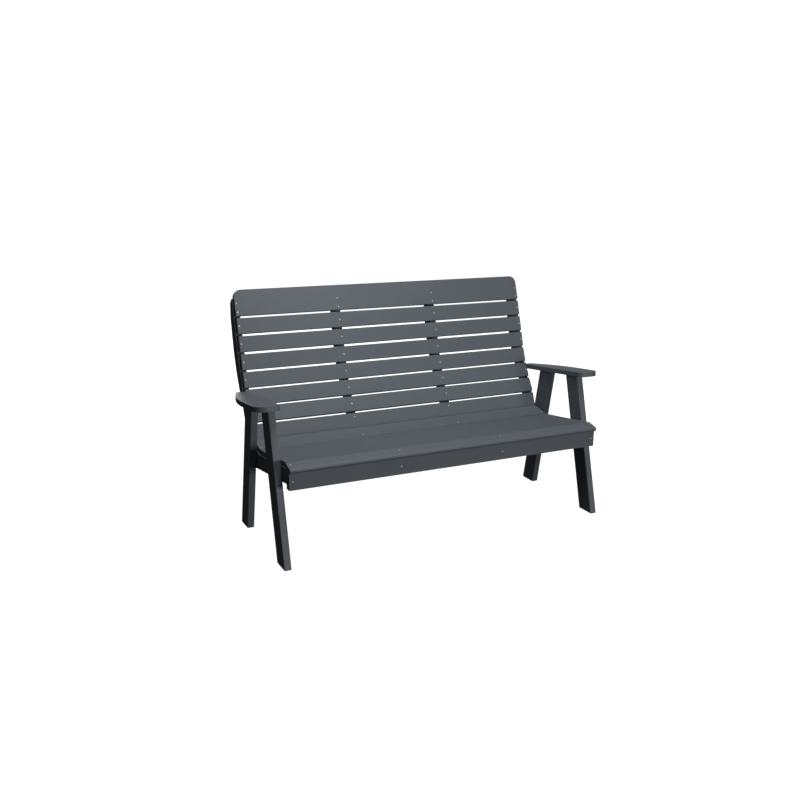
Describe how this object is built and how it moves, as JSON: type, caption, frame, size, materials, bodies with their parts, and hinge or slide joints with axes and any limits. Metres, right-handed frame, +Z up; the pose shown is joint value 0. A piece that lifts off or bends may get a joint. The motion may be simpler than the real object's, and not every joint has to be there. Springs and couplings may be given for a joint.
{
  "type": "garden bench",
  "caption": "Slatted garden bench in grey plastic lumber with a tall contoured back, dished seat, paddle arms and splayed board legs.",
  "frame": {"origin": "on the ground under the middle of the bench's box", "axes": "+X along the bench to the sitter's left hand, +Y to the back, +Z up"},
  "size_m": [1.718, 0.7844, 1.0528],
  "materials": {
    "lumber": "matte slate-grey recycled plastic lumber with faint grain along each board",
    "steel": "brushed stainless steel",
    "black_bolts": "black coated steel, satin"
  },
  "bodies": {
    "root": {"joist_left": "lumber", "joist_mid_left": "lumber", "joist_mid_right": "lumber", "joist_right": "lumber", "rib_left": "lumber", "rib_mid_left": "lumber", "rib_mid_right": "lumber", "rib_right": "lumber", "front_apron": "lumber", "rear_rail": "lumber", "seat_front_board": "lumber", "seat_middle_board": "lumber", "seat_rear_board": "lumber", "back_slat_1": "lumber", "back_slat_2": "lumber", "back_slat_3": "lumber", "back_slat_4": "lumber", "back_slat_5": "lumber", "back_slat_6": "lumber", "back_slat_7": "lumber", "crest_board": "lumber", "leg_front_left": "lumber", "leg_front_right": "lumber", "leg_rear_left": "lumber", "leg_rear_right": "lumber", "arm_left": "lumber", "arm_right": "lumber", "slat_screws": "steel", "seat_screws": "steel", "apron_screws": "steel", "rail_screws": "steel", "lap_screws": "steel", "leg_screws": "steel", "leg_bolts": "black_bolts", "bolt_washers": "steel", "bolt_nuts": "steel", "arm_screws": "steel", "arm_plugs": "lumber"}
  },
  "joints": []
}
